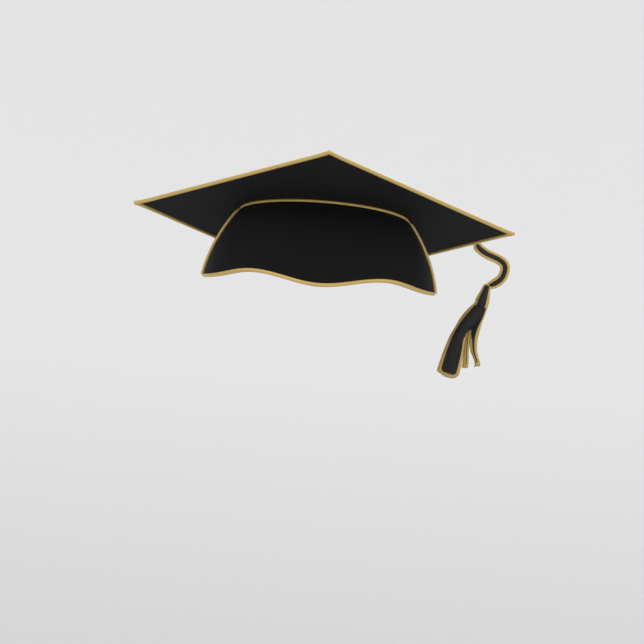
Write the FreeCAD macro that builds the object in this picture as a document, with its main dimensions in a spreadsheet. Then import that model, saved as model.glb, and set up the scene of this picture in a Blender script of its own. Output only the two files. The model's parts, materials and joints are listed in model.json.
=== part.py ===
"""A graduation cap: a covered square board on a lined skull cap, with a button and a tassel.

Millimetres. +Z is up out of the head, -Y is the front, and the origin is the middle of the
head opening. The board is raked: its front corner stands up and its back corner comes down.
"""

import FreeCAD, Part
import math
import os

import Sketcher

V = FreeCAD.Vector
doc = FreeCAD.newDocument("graduation_cap")

SIZES = {
    # the board
    "board_side": 241.0,
    "board_corner": 3.0,
    "board_height": 63.6,
    "board_rake": 19.5,
    "core_thick": 2.2,
    "cover_thick": 0.55,
    "layer_gap": 0.05,
    "piping_width": 3.0,
    "piping_drop": 1.4,
    # the skull cap
    "head_half_width": 105.5,
    "head_half_depth": 92.0,
    "crown_half_width": 76.0,
    "crown_front": 47.0,
    "crown_back": 70.0,
    "seam_forward": 10.0,
    "side_bulge": 5.0,
    "front_bulge": 10.0,
    "back_bulge": 2.5,
    "panel_thick": 0.9,
    "stiffener_thick": 0.8,
    "lining_thick": 0.6,
    "seam_piping_width": 2.8,
    "seam_gap": 0.6,
    "crown_lining_gap": 0.45,
    "wave_height": 8.4,
    "wave_half_pitch": 61.0,
    "wave_side_pitch": 46.0,
    "binding_height": 2.8,
    "binding_thick": 0.8,
    "sweatband_height": 24.0,
    "sweatband_thick": 0.9,
    "sweatband_end_gap": 10.0,
    "elastic_height": 12.0,
    "elastic_half_length": 55.0,
    "elastic_thick": 1.0,
    # the button and its rivet
    "button_radius": 10.5,
    "button_dome": 5.5,
    "button_shell_thick": 0.8,
    "button_back_thick": 1.3,
    "button_back_bevel": 0.5,
    "button_lift": 4.0,
    "neck_radius": 4.6,
    "rivet_radius": 2.0,
    "rivet_play": 0.05,
    "rivet_head_radius": 3.6,
    "rivet_head_thick": 0.8,
    "washer_radius": 7.0,
    "washer_thick": 0.8,
    # the tassel
    "cord_width": 4.8,
    "loop_width": 3.0,
    "loop_reach": 14.5,
    "loop_nose": 1.9,
    "loop_slack": 0.5,
    "collar_radius": 2.8,
    "collar_length": 5.0,
    "free_gap": 0.35,
    "knot_radius": 4.0,
    "tassel_lean": 13.5,
    "head_length": 12.0,
    "head_radius": 6.5,
    "head_neck_step": 0.4,
    "binding_radius": 6.9,
    "binding_length": 2.6,
    "strand_radius": 1.1,
    "strand_gap": 0.45,
}

sheet = doc.addObject("Spreadsheet::Sheet", "sizes")
for row, (name, value) in enumerate(SIZES.items(), start=1):
    sheet.set(f"A{row}", name)
    sheet.set(f"B{row}", str(value))
    sheet.setAlias(f"B{row}", name)
doc.recompute()


def size(expression):
    """The value of an expression over the sheet's cells."""
    return float(sheet.evalExpression(expression))


RAKE = math.radians(size("board_rake"))
SLOPE = math.tan(RAKE)
BOARD = FreeCAD.Placement(
    V(0, 0, size("board_height")), FreeCAD.Rotation(V(1, 0, 0), -size("board_rake"))
)
HALF_BOARD = "(core_thick / 2 + layer_gap + cover_thick)"
SUB_PARTS = []


# ---------------------------------------------------------------- ways to build a piece


def named(expression):
    """The expression with each size read from the sheet object."""
    for name in sorted(SIZES, key=len, reverse=True):
        expression = expression.replace(name, "sizes." + name.upper())
    for name in SIZES:
        expression = expression.replace("sizes." + name.upper(), "sizes." + name)
    return expression


def new_body(label, placement):
    body = doc.addObject("PartDesign::Body", label)
    body.Label = label
    body.Placement = placement
    SUB_PARTS.append(body)
    return body


def plane_sketch(body, name, role, lift="0"):
    """A sketch on one of the body's own origin planes, lifted along its normal."""
    sketch = body.newObject("Sketcher::SketchObject", name)
    plane = next(f for f in body.Origin.OriginFeatures if f.Role == role)
    sketch.AttachmentSupport = (plane, "")
    sketch.MapMode = "FlatFace"
    sketch.setExpression("AttachmentOffset.Base.z", named(lift))
    return sketch


def draw_polygon(sketch, corners):
    """A closed outline whose corners are tied to the sheet: [(x expression, y expression)]."""
    points = [V(size(x), size(y), 0) for x, y in corners]
    count = len(points)
    for i in range(count):
        sketch.addGeometry(Part.LineSegment(points[i], points[(i + 1) % count]), False)
    for i in range(count):
        sketch.addConstraint(Sketcher.Constraint("Coincident", i, 2, (i + 1) % count, 1))
    for i, (x, y) in enumerate(corners):
        for axis, expression, value in (("X", x, points[i].x), ("Y", y, points[i].y)):
            if abs(value) < 1e-9:
                target = -2 if axis == "X" else -1
                sketch.addConstraint(Sketcher.Constraint("PointOnObject", i, 1, target))
            else:
                rule = Sketcher.Constraint("Distance" + axis, -1, 1, i, 1, value)
                index = sketch.addConstraint(rule)
                sketch.setExpression(f"Constraints[{index}]", named(expression))


def draw_circle(sketch, radius):
    sketch.addGeometry(Part.Circle(V(0, 0, 0), V(0, 0, 1), size(radius)), False)
    sketch.addConstraint(Sketcher.Constraint("Coincident", 0, 3, -1, 1))
    index = sketch.addConstraint(Sketcher.Constraint("Radius", 0, size(radius)))
    sketch.setExpression(f"Constraints[{index}]", named(radius))


def turned(label, placement, profile):
    """A piece turned about its own Z axis from a profile of (radius, height) corners."""
    body = new_body(label, placement)
    sketch = plane_sketch(body, label + "_profile", "XZ_Plane")
    draw_polygon(sketch, profile)
    turn = body.newObject("PartDesign::Revolution", label + "_turn")
    turn.Profile = sketch
    turn.ReferenceAxis = (sketch, ["V_Axis"])
    turn.Angle = 360
    doc.recompute()
    return body


def board_plate(label, thickness, bottom, inset):
    """A square plate of the board, with round corners and the rivet's hole."""
    body = new_body(label, BOARD)
    half = f"(board_side / 2 - {inset})"
    sketch = plane_sketch(body, label + "_outline", "XY_Plane", bottom)
    ends = [("-", "-"), ("", "-"), ("", ""), ("-", "")]
    draw_polygon(sketch, [(f"{a}{half}", f"{b}{half}") for a, b in ends])
    pad = body.newObject("PartDesign::Pad", label + "_pad")
    pad.Profile = sketch
    pad.setExpression("Length", named(thickness))
    doc.recompute()
    upright = [
        f"Edge{i}"
        for i, edge in enumerate(pad.Shape.Edges, start=1)
        if abs(edge.Vertexes[0].Z - edge.Vertexes[1].Z) > size(thickness) / 2
    ]
    fillet = body.newObject("PartDesign::Fillet", label + "_corners")
    fillet.Base = (pad, upright)
    fillet.setExpression("Radius", named(f"board_corner - {inset}"))
    doc.recompute()
    solid_before = fillet.Shape.Volume
    hole_sketch = plane_sketch(body, label + "_hole_outline", "XY_Plane", bottom)
    draw_circle(hole_sketch, "rivet_radius + rivet_play")
    hole = body.newObject("PartDesign::Pocket", label + "_hole")
    hole.Profile = hole_sketch
    hole.Reversed = True
    hole.setExpression("Length", named(thickness))
    doc.recompute()
    if not hole.Shape.Volume < solid_before:
        raise ValueError(label + ": the rivet's hole cut nothing")
    body.Placement = BOARD.multiply(FreeCAD.Placement(V(), FreeCAD.Rotation(V(0, 0, 1), 45)))
    return body


def feature(label, shape, placement=None):
    """A sub-part whose shape comes from Part's own functions."""
    piece = doc.addObject("Part::Feature", label)
    piece.Label = label
    piece.Shape = shape
    piece.Placement = placement or FreeCAD.Placement()
    SUB_PARTS.append(piece)
    return piece


def sweep_circle(wire, radius):
    """A round tube along a wire whose runs meet in tangents."""
    edge = wire.OrderedEdges[0]
    start = edge.valueAt(edge.FirstParameter)
    along = edge.tangentAt(edge.FirstParameter)
    ring = Part.Wire(Part.Circle(start, along, radius).toShape())
    solid = wire.makePipeShell([ring], True, True)
    return solid.Solids[0] if solid.Solids else solid


ARC_SHARE = 0.45


def rounded_route(label, points):
    """Straight runs joined by tangent arcs, each reaching ARC_SHARE along its shorter run."""
    radii = []
    edges = []
    here = points[0]
    for before, corner, after in zip(points, points[1:], points[2:]):
        run_in = corner - before
        run_out = after - corner
        half_turn = run_in.getAngle(run_out) / 2
        setback = ARC_SHARE * min(run_in.Length, run_out.Length)
        into = V(run_in).normalize()
        out = V(run_out).normalize()
        start = corner - into * setback
        end = corner + out * setback
        radius = setback / math.tan(half_turn)
        bisector = (out - into).normalize()
        middle = corner + bisector * (radius / math.cos(half_turn) - radius)
        edges.append(Part.LineSegment(here, start).toShape())
        edges.append(Part.Arc(start, middle, end).toShape())
        radii.append(round(radius, 1))
        here = end
    edges.append(Part.LineSegment(here, points[-1]).toShape())
    print(label, "bend radii", radii)
    return Part.Wire(edges)


# ---------------------------------------------------------------- the board

INSIDE_PIPING = "(piping_width / 2 + layer_gap)"
board_plate("board_core", "core_thick", "-core_thick / 2", INSIDE_PIPING)
board_plate("board_top_cover", "cover_thick", "core_thick / 2 + layer_gap", INSIDE_PIPING)
board_plate(
    "board_under_cover", "cover_thick", "-core_thick / 2 - layer_gap - cover_thick", INSIDE_PIPING
)


def square_ring(half, corner):
    """The middle line of a square ring with round corners, flat in XY."""
    edges = []
    for quarter in range(4):
        turn = FreeCAD.Rotation(V(0, 0, 1), 90 * quarter)
        side_start = turn.multVec(V(-half + corner, -half, 0))
        side_end = turn.multVec(V(half - corner, -half, 0))
        reach = corner * math.sin(math.pi / 4)
        arc_middle = turn.multVec(V(half - corner + reach, -half + corner - reach, 0))
        arc_end = turn.multVec(V(half, -half + corner, 0))
        edges.append(Part.LineSegment(side_start, side_end).toShape())
        edges.append(Part.Arc(side_end, arc_middle, arc_end).toShape())
    return Part.Wire(edges)


feature(
    "board_piping",
    sweep_circle(square_ring(size("board_side / 2"), size("board_corner")), size("piping_width / 2")),
    BOARD.multiply(
        FreeCAD.Placement(V(0, 0, -size("piping_drop")), FreeCAD.Rotation(V(0, 0, 1), 45))
    ),
)

# ---------------------------------------------------------------- the button and its rivet

BUTTON_FOOT = f"({HALF_BOARD} + button_lift)"
BACK_TOP = f"({BUTTON_FOOT} + button_back_thick)"
BORE = "(rivet_radius + rivet_play)"
turned(
    "button_back",
    BOARD,
    [
        (BORE, f"{HALF_BOARD} + layer_gap"),
        ("neck_radius", f"{HALF_BOARD} + layer_gap"),
        ("neck_radius", BUTTON_FOOT),
        ("button_radius - button_shell_thick - layer_gap", BUTTON_FOOT),
        ("button_radius - button_shell_thick - layer_gap", f"{BUTTON_FOOT} + button_back_thick / 3"),
        ("button_radius - button_shell_thick - layer_gap - button_back_bevel", BACK_TOP),
        (BORE, BACK_TOP),
    ],
)


def dome(name, radius, height):
    """The upper half of an ellipsoid that stands on the button's foot."""
    shape = doc.addObject("Part::Ellipsoid", name)
    shape.setExpression("Radius1", named(height))
    shape.setExpression("Radius2", named(radius))
    shape.setExpression("Radius3", named(radius))
    shape.Angle1 = 0
    shape.setExpression("Placement.Base.z", named(BUTTON_FOOT))
    return shape


SHELL_INNER = "button_radius - button_shell_thick"
DOME_HEIGHT = "button_back_thick + button_dome"
shell = doc.addObject("Part::Cut", "button_shell")
shell.Base = dome("button_outer", "button_radius", DOME_HEIGHT)
shell.Tool = dome("button_inner", SHELL_INNER, f"{DOME_HEIGHT} - button_shell_thick")
shell.Label = "button_shell"
shell.Placement = BOARD
SUB_PARTS.append(shell)

CROWN_THICK = "(panel_thick + stiffener_thick + 2 * layer_gap)"
WASHER_TOP = f"(-{HALF_BOARD} - {CROWN_THICK} - layer_gap)"
RIVET_FOOT = f"({WASHER_TOP} - washer_thick - layer_gap)"
RIVET_TOP = f"({BACK_TOP} + layer_gap + rivet_head_thick)"
turned(
    "button_rivet",
    BOARD,
    [
        ("0", f"{RIVET_FOOT} - rivet_head_thick"),
        ("rivet_head_radius", f"{RIVET_FOOT} - rivet_head_thick"),
        ("rivet_head_radius", RIVET_FOOT),
        ("rivet_radius", RIVET_FOOT),
        ("rivet_radius", f"{BACK_TOP} + layer_gap"),
        ("rivet_head_radius", f"{BACK_TOP} + layer_gap"),
        ("rivet_head_radius", RIVET_TOP),
        ("0", RIVET_TOP),
    ],
)
turned(
    "rivet_washer",
    BOARD,
    [
        (BORE, f"{WASHER_TOP} - washer_thick"),
        ("washer_radius", f"{WASHER_TOP} - washer_thick"),
        ("washer_radius", WASHER_TOP),
        (BORE, WASHER_TOP),
    ],
)

# ---------------------------------------------------------------- the skull cap's surface
# Three upright lines give the wall's shape: the front, the back and the side seam. Each runs
# from the head opening to the crown seam under the board, and bulges outward between them.


def underside_height(depth, y):
    """The height of the plane that lies `depth` under the board's middle, at a given y."""
    return size("board_height") - depth / math.cos(RAKE) - SLOPE * y


def crown_point(along):
    """A point of the board's underside, `along` the board behind its centre: (y, z)."""
    place = BOARD.multVec(V(0, along, -size(HALF_BOARD)))
    return place.y, place.z


def wall_line(foot, crown, bulge):
    """A function of (height, inset) giving the wall's distance from the middle."""
    reach, top = crown

    def distance(z, inset):
        share = z / top
        swell = 4 * bulge * share * (1 - share)
        lean = ((reach - foot) + 4 * bulge * (1 - 2 * share)) / top
        return foot + (reach - foot) * share + swell - inset * math.sqrt(1 + lean * lean)

    return distance


FRONT_Y, FRONT_Z = crown_point(-size("crown_front"))
BACK_Y, BACK_Z = crown_point(size("crown_back"))
SEAM_Y, SEAM_Z = crown_point(-size("seam_forward"))
SEAM_LEAN = -SEAM_Y / SEAM_Z
front_line = wall_line(size("head_half_depth"), (-FRONT_Y, FRONT_Z), size("front_bulge"))
back_line = wall_line(size("head_half_depth"), (BACK_Y, BACK_Z), size("back_bulge"))
side_line = wall_line(size("head_half_width"), (size("crown_half_width"), SEAM_Z), size("side_bulge"))


def half_ellipse(middle, side, tip):
    """Half an ellipse, from one side through its tip to the other side."""
    if side.Length >= (tip - middle).Length:
        curve = Part.Ellipse(middle + side, tip, middle)
        return Part.ArcOfEllipse(curve, 0, math.pi).toShape()
    curve = Part.Ellipse(tip, middle - side, middle)
    return Part.ArcOfEllipse(curve, -math.pi / 2, math.pi / 2).toShape()


def oval(front, back, inset):
    """The wall's outline through one front and one back point: two half ellipses."""
    slope = (back[1] - front[1]) / (back[0] - front[0])
    seam_z = (front[1] - slope * front[0]) / (1 + slope * SEAM_LEAN)
    middle = V(0, -SEAM_LEAN * seam_z, seam_z)
    side = V(side_line(seam_z, inset), 0, 0)
    halves = [half_ellipse(middle, side, V(0, *front)), half_ellipse(middle, -side, V(0, *back))]
    return Part.Wire(halves)


WALL_LEVELS = (-0.12, 0.15, 0.42, 0.7, 1.0, 1.15)


def wall_plug(inset):
    """Everything inside the wall's surface, from below the opening to above the crown."""
    sections = []
    for share in WALL_LEVELS:
        front_z = share * FRONT_Z
        back_z = share * BACK_Z
        front = (-front_line(front_z, inset), front_z)
        back = (back_line(back_z, inset), back_z)
        sections.append(oval(front, back, inset))
    return Part.makeLoft(sections, True, False)


def seam_oval(depth, inset):
    """The wall's outline in the plane that lies `depth` under the board's middle."""
    tips = []
    for line, sign in ((front_line, -1), (back_line, 1)):
        low, high = 0.0, 1.6 * FRONT_Z
        for _ in range(50):
            z = (low + high) / 2
            if z < underside_height(depth, sign * line(z, inset)):
                low = z
            else:
                high = z
        tips.append((sign * line(z, inset), z))
    return oval(tips[0], tips[1], inset)


REACH = 2 * size("head_half_width")


def under_plane(depth):
    """A block of everything more than `depth` under the board's middle."""
    block = Part.makeBox(2 * REACH, 2 * REACH, REACH, V(-REACH, -REACH, -REACH - depth))
    block.Placement = BOARD
    return block


WAVE_STEPS = 24


def wave(x):
    """The height of the opening's edge: low in the middle, high at one pitch, low at the sides."""
    pitch = size("wave_half_pitch")
    turn = math.pi * abs(x) / pitch
    if abs(x) > pitch:
        turn = math.pi + math.pi * (abs(x) - pitch) / size("wave_side_pitch")
    return size("wave_height / 2") * (1 - math.cos(turn))


def above_wave(lift):
    """A block of everything more than `lift` above the wavy edge of the opening."""
    edge_reach = size("wave_half_pitch + wave_side_pitch")
    edge = []
    for i in range(-WAVE_STEPS, WAVE_STEPS + 1):
        x = edge_reach * i / WAVE_STEPS
        edge.append(V(x, -REACH, lift + wave(x)))
    curve = Part.BSplineCurve()
    curve.interpolate(edge)
    left, right = edge[0], edge[-1]
    top_left = V(left.x, -REACH, REACH)
    top_right = V(right.x, -REACH, REACH)
    sides = [
        curve.toShape(),
        Part.LineSegment(right, top_right).toShape(),
        Part.LineSegment(top_right, top_left).toShape(),
        Part.LineSegment(top_left, left).toShape(),
    ]
    return Part.Face(Part.Wire(sides)).extrude(V(0, 2 * REACH, 0))


def half_space(front, gap):
    """The half before or behind the side seams, held `gap` away from their plane."""
    start = -REACH if front else gap
    block = Part.makeBox(2 * REACH, REACH - gap, 2 * REACH, V(-REACH, start, -REACH))
    block.rotate(V(), V(1, 0, 0), math.degrees(math.atan(SEAM_LEAN)))
    return block


# ---------------------------------------------------------------- the walls

GAP = size("layer_gap")
SEAM_RADIUS = size("seam_piping_width / 2")
WALL_TOP = size(HALF_BOARD) + 2 * SEAM_RADIUS + 2 * GAP
EDGE_LIFT = size("binding_thick") + GAP
wall_block = above_wave(EDGE_LIFT).common(under_plane(WALL_TOP))

inset = 0.0
for layer, thickness in (
    ("panel", size("panel_thick")),
    ("stiffener", size("stiffener_thick")),
    ("lining", size("lining_thick")),
):
    ring = wall_plug(inset).cut(wall_plug(inset + thickness)).common(wall_block)
    for side, is_front in (("front", True), ("back", False)):
        half = ring.common(half_space(is_front, size("seam_gap / 2")))
        feature(f"{side}_{layer}", half.Solids[0])
    inset += thickness + GAP
WALL_THICK = inset - GAP

binding_thick = size("binding_thick")
binding_block = above_wave(0).common(under_plane(WALL_TOP))
binding_block = binding_block.cut(above_wave(size("binding_height")))
binding = wall_plug(-binding_thick - GAP).cut(wall_plug(WALL_THICK + GAP + binding_thick))
wall_room = wall_plug(-GAP).cut(wall_plug(WALL_THICK + GAP)).common(above_wave(binding_thick))
feature("rim_binding", binding.common(binding_block).cut(wall_room).Solids[0])

inner = WALL_THICK + GAP
band_foot = size("binding_height") + GAP
band = wall_plug(inner).cut(wall_plug(inner + size("sweatband_thick")))
band = band.common(above_wave(band_foot)).cut(above_wave(band_foot + size("sweatband_height")))
feature("sweatband", band.common(half_space(True, size("sweatband_end_gap"))).Solids[0])

elastic = wall_plug(inner).cut(wall_plug(inner + size("elastic_thick")))
elastic = elastic.common(above_wave(band_foot)).cut(above_wave(band_foot + size("elastic_height")))
half_elastic = size("elastic_half_length")
elastic_box = Part.makeBox(2 * half_elastic, REACH, REACH, V(-half_elastic, 0, -REACH / 2))
feature("back_elastic", elastic.common(elastic_box).Solids[0])

# ---------------------------------------------------------------- the crown

CROWN_INSET = 2 * SEAM_RADIUS + GAP
LINING_INSET = WALL_THICK + size("crown_lining_gap")
rivet_way = Part.makeCylinder(size(BORE), 2 * REACH, V(0, 0, -REACH))
rivet_way.Placement = BOARD
crown_depth = size(HALF_BOARD) + GAP
for layer, thickness in (
    ("panel", size("panel_thick")),
    ("stiffener", size("stiffener_thick")),
    ("lining", size("lining_thick")),
):
    crown_inset = CROWN_INSET
    if layer == "lining":
        crown_depth = -size(RIVET_FOOT) + size("rivet_head_thick") + GAP
        crown_inset = LINING_INSET
    outline = seam_oval(crown_depth, crown_inset)
    down = BOARD.Rotation.multVec(V(0, 0, -thickness))
    disc = Part.Face(outline).extrude(down)
    if layer != "lining":
        disc = disc.cut(rivet_way)
    feature(f"crown_{layer}", disc)
    crown_depth += thickness + GAP

feature(
    "crown_piping",
    sweep_circle(seam_oval(size(HALF_BOARD) + GAP + SEAM_RADIUS, SEAM_RADIUS / 2), SEAM_RADIUS),
)


CROWN_ROOM = 2.3 * SEAM_RADIUS


def side_piping(sign):
    """The piping of one side seam: it lies on the wall, from the binding to the crown."""
    foot_z = size("binding_height + seam_piping_width / 2") + wave(size("head_half_width"))
    top_z = SEAM_Z - CROWN_ROOM
    points = []
    for share in (0, 0.5, 1):
        z = foot_z + (top_z - foot_z) * share
        points.append(V(sign * side_line(z, -SEAM_RADIUS - GAP), -SEAM_LEAN * z, z))
    return sweep_circle(Part.Wire(Part.Arc(*points).toShape()), SEAM_RADIUS)


feature("side_piping_left", side_piping(-1))
feature("side_piping_right", side_piping(1))

# ---------------------------------------------------------------- the tassel's cord
# The route in the board's own frame: x to the right, y to the back, z off the board.

CORD_RADIUS = size("cord_width / 2")
COLLAR_RADIUS = size("collar_radius")
CORD_HEIGHT = size(HALF_BOARD) + size("free_gap") + COLLAR_RADIUS
LOOP_HEIGHT = size(HALF_BOARD) + size("free_gap + loop_width / 2")
LOOP_END = size("loop_reach + loop_nose + loop_width / 2")
CORD_START = LOOP_END + GAP + size("collar_length") + GAP

ON_BOARD = [(CORD_START, 0), (46, -0.8), (75, 4), (105, 15), (131, 30.5), (150, 45.5), (163.9, 59.9)]
PAST_EDGE = [
    (3.8, 2.6, -7.7),
    (5.1, 3.4, -17.0),
    (1.4, 2.9, -26.6),
    (-10.0, 1.9, -35.7),
]

on_board = [BOARD.multVec(V(x, y, CORD_HEIGHT)) for x, y in ON_BOARD]
edge_pivot = on_board[-1]
past_edge = [edge_pivot] + [edge_pivot + V(*step) for step in PAST_EDGE]
knot_place = past_edge[-1]


def moved_along(points, at_end, distance):
    """The same points with the first or last one moved inward along its own run."""
    trimmed = list(points)
    here, toward = (points[-1], points[-2]) if at_end else (points[0], points[1])
    trimmed[-1 if at_end else 0] = here + (toward - here).normalize() * distance
    return trimmed


def ring_round(radius, nose, reach):
    """The line of a cord that goes round the neck and closes at a narrow nose."""
    spread = math.acos((radius - nose) / reach)
    big = [V(radius * math.cos(a), radius * math.sin(a), 0) for a in (spread, math.pi, -spread)]
    small = [
        V(reach + nose * math.cos(a), nose * math.sin(a), 0) for a in (-spread, 0, spread)
    ]
    edges = [
        Part.Arc(*big).toShape(),
        Part.LineSegment(big[2], small[0]).toShape(),
        Part.Arc(*small).toShape(),
        Part.LineSegment(small[2], big[0]).toShape(),
    ]
    return Part.Wire(edges)


loop_radius = size("neck_radius + free_gap + loop_width / 2 + loop_slack")
loop_line = ring_round(loop_radius, size("loop_nose"), size("loop_reach"))
feature(
    "tassel_loop",
    sweep_circle(loop_line, size("loop_width / 2")),
    BOARD.multiply(FreeCAD.Placement(V(0, 0, LOOP_HEIGHT), FreeCAD.Rotation())),
)

collar = doc.addObject("Part::Cylinder", "loop_collar")
collar.Label = "loop_collar"
collar.setExpression("Radius", named("collar_radius"))
collar.setExpression("Height", named("collar_length"))
collar.Placement = BOARD.multiply(
    FreeCAD.Placement(V(LOOP_END + GAP, 0, CORD_HEIGHT), FreeCAD.Rotation(V(0, 1, 0), 90))
)
SUB_PARTS.append(collar)

top_wire = rounded_route("cord_top", on_board)
top_tube = sweep_circle(top_wire, CORD_RADIUS)
feature("cord_top", top_tube.fuse(Part.makeSphere(CORD_RADIUS, edge_pivot)).removeSplitter())

drop_route = moved_along(past_edge, False, CORD_RADIUS + size("free_gap"))
drop_route = moved_along(drop_route, True, size("knot_radius + free_gap"))
drop_wire = rounded_route("cord_drop", drop_route)
drop_tube = sweep_circle(drop_wire, CORD_RADIUS)
feature("cord_drop", drop_tube)
print("cord lengths", round(top_wire.Length, 1), round(drop_wire.Length, 1))

# ---------------------------------------------------------------- the tassel
# Its own frame hangs at the knot: x to the right across the tassel, z up along it.

TASSEL = FreeCAD.Placement(knot_place, FreeCAD.Rotation(V(0, 1, 0), size("tassel_lean")))

knot = doc.addObject("Part::Sphere", "tassel_knot")
knot.Label = "tassel_knot"
knot.setExpression("Radius", named("knot_radius"))
knot.Placement = TASSEL
SUB_PARTS.append(knot)

HEAD_TOP = "(knot_radius + free_gap)"
HEAD_FOOT = f"({HEAD_TOP} + head_length)"
NECK = "(head_radius - head_neck_step)"
turned(
    "tassel_head",
    TASSEL,
    [
        ("0", f"-{HEAD_TOP}"),
        ("head_radius * 0.52", f"-{HEAD_TOP}"),
        ("head_radius * 0.72", f"-{HEAD_TOP} - head_length * 0.14"),
        ("head_radius * 0.87", f"-{HEAD_TOP} - head_length * 0.38"),
        ("head_radius * 0.96", f"-{HEAD_TOP} - head_length * 0.66"),
        ("head_radius", f"-{HEAD_TOP} - head_length * 0.88"),
        (NECK, f"-{HEAD_FOOT}"),
        ("0", f"-{HEAD_FOOT}"),
    ],
)
turned(
    "tassel_binding",
    TASSEL,
    [
        (f"{NECK} + layer_gap", f"-{HEAD_FOOT} - layer_gap - binding_length"),
        ("binding_radius", f"-{HEAD_FOOT} - layer_gap - binding_length * 0.8"),
        ("binding_radius", f"-{HEAD_FOOT} - layer_gap - binding_length * 0.2"),
        (f"{NECK} + layer_gap", f"-{HEAD_FOOT} - layer_gap"),
    ],
)

# Each bundle: distance below the knot, offset to the right, half width, half depth.
SKIRT_TOP = size(HEAD_FOOT) + GAP
MAIN_BUNDLE = [
    (SKIRT_TOP, 0, 5.9, 5.9),
    (SKIRT_TOP + 3.0, 0, 5.9, 5.9),
    (26, -2.3, 5.8, 6.2),
    (34, -5.6, 5.4, 6.4),
    (42, -8.2, 4.8, 6.6),
    (52, -9.6, 5.5, 7.0),
    (61, -9.2, 6.8, 7.4),
    (72, -8.7, 8.2, 7.8),
    (84, -7.9, 8.7, 7.6),
    (87.5, -7.4, 7.2, 6.0),
    (89.3, -7.2, 3.4, 2.6),
]
INNER_WISP = [
    (31, 2.1, 0.5, 2.2),
    (36, 0.2, 0.8, 2.6),
    (42, -2.2, 0.85, 2.8),
    (52, -1.8, 1.5, 2.6),
    (61, 0.3, 1.7, 2.2),
    (76, 4.0, 1.4, 0.9),
]
OUTER_WISP = [
    (36, 2.1, 0.6, 2.2),
    (42, 1.4, 1.7, 2.6),
    (50, 2.6, 1.9, 2.4),
    (60, 5.8, 1.8, 2.0),
    (70, 13.0, 1.2, 0.9),
]
# The right gold strand follows the skirt's right side: distance below the knot, and that side.
RIGHT_SIDE = [(SKIRT_TOP + 3.0, 6.0), (26, 3.6), (36, 2.75), (42, 3.2), (50, 4.6), (60, 7.7), (70, 14.3)]
LEFT_SIDE = [(down, across - half) for down, across, half, _ in MAIN_BUNDLE[1:-1]]


def bundle(sections):
    """A bundle of threads lofted through ovals across the tassel."""
    rings = []
    for down, across, half_width, half_depth in sections:
        centre = V(across, 0, -down)
        wide, narrow = max(half_width, half_depth), min(half_width, half_depth)
        curve = Part.Ellipse(V(), wide, narrow)
        ring = Part.Wire(curve.toShape())
        if half_depth > half_width:
            ring.rotate(V(), V(0, 0, 1), 90)
        ring.translate(centre)
        rings.append(ring)
    return Part.makeLoft(rings, True, False)


def strand(outline, side):
    """A gold strand that lies along one side of the skirt."""
    radius = size("strand_radius")
    beside = radius + size("strand_gap")
    return bundle([(down, across + side * beside, radius, radius) for down, across in outline])


feature("skirt_main", bundle(MAIN_BUNDLE), TASSEL)
feature("wisp_inner", bundle(INNER_WISP), TASSEL)
feature("wisp_outer", bundle(OUTER_WISP), TASSEL)
feature("gold_strand_left", strand(LEFT_SIDE, -1), TASSEL)
feature("gold_strand_right", strand(RIGHT_SIDE, 1), TASSEL)

# ---------------------------------------------------------------- checks and files

doc.recompute()
for thing in doc.Objects:
    if "Invalid" in thing.State or "Error" in thing.State:
        raise ValueError(f"{thing.Label}: {thing.State}")
for piece in SUB_PARTS:
    if piece.Shape.isNull() or not piece.Shape.isValid() or piece.Shape.Volume <= 0:
        raise ValueError(piece.Label + " has no sound shape")

for label, tube, wire in (("cord_top", top_tube, top_wire), ("cord_drop", drop_tube, drop_wire)):
    expected = math.pi * CORD_RADIUS**2 * wire.Length
    print(label, "volume over section x length:", round(tube.Volume / expected, 4))
print("edge pivot at", [round(c, 2) for c in edge_pivot])
print("knot at", [round(c, 2) for c in knot_place])

os.makedirs("parts", exist_ok=True)
for piece in SUB_PARTS:
    piece.Shape.exportStep(f"parts/{piece.Label}.step")
print(len(SUB_PARTS), "pieces written")
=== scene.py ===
# %% [markdown]
# # A graduation cap
# The cap is a stiff square board on a lined cloth skull cap, edged everywhere with gold cord,
# with a tassel that hangs from a button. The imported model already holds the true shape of
# every stiff piece. This script dresses it: cloth with seams, twisted gold cord, and a tassel
# made of real threads.

# %% Load the frame
import json
import math
import random
from functools import partial

import bpy
from mathutils import Matrix, Vector, noise


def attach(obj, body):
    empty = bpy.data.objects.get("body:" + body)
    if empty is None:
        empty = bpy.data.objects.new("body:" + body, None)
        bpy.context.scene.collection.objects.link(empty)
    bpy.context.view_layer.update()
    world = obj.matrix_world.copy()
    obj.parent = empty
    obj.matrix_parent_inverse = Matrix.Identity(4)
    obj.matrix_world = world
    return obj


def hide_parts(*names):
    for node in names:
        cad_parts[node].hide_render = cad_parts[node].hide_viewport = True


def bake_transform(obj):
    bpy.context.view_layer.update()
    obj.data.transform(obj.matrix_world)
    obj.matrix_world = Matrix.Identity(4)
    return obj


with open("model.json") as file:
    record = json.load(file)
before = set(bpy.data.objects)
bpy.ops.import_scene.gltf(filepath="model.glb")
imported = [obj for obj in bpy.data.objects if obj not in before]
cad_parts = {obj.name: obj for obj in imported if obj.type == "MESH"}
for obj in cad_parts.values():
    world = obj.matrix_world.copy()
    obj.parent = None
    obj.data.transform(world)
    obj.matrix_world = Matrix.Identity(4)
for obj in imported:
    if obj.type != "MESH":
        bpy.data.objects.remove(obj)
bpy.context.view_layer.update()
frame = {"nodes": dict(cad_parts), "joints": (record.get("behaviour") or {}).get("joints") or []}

for spare in ("Cube", "Light", "Camera"):
    if spare in bpy.data.objects:
        bpy.data.objects.remove(bpy.data.objects[spare])
MM = 0.001

# %% [markdown]
# ## Where things are
# The joints say where the board's middle is, which way it faces, where the cord folds over the
# edge and where the tassel hangs. The board leans back, so most pieces are easier to make flat
# and then carried to the board with one matrix.

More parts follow.
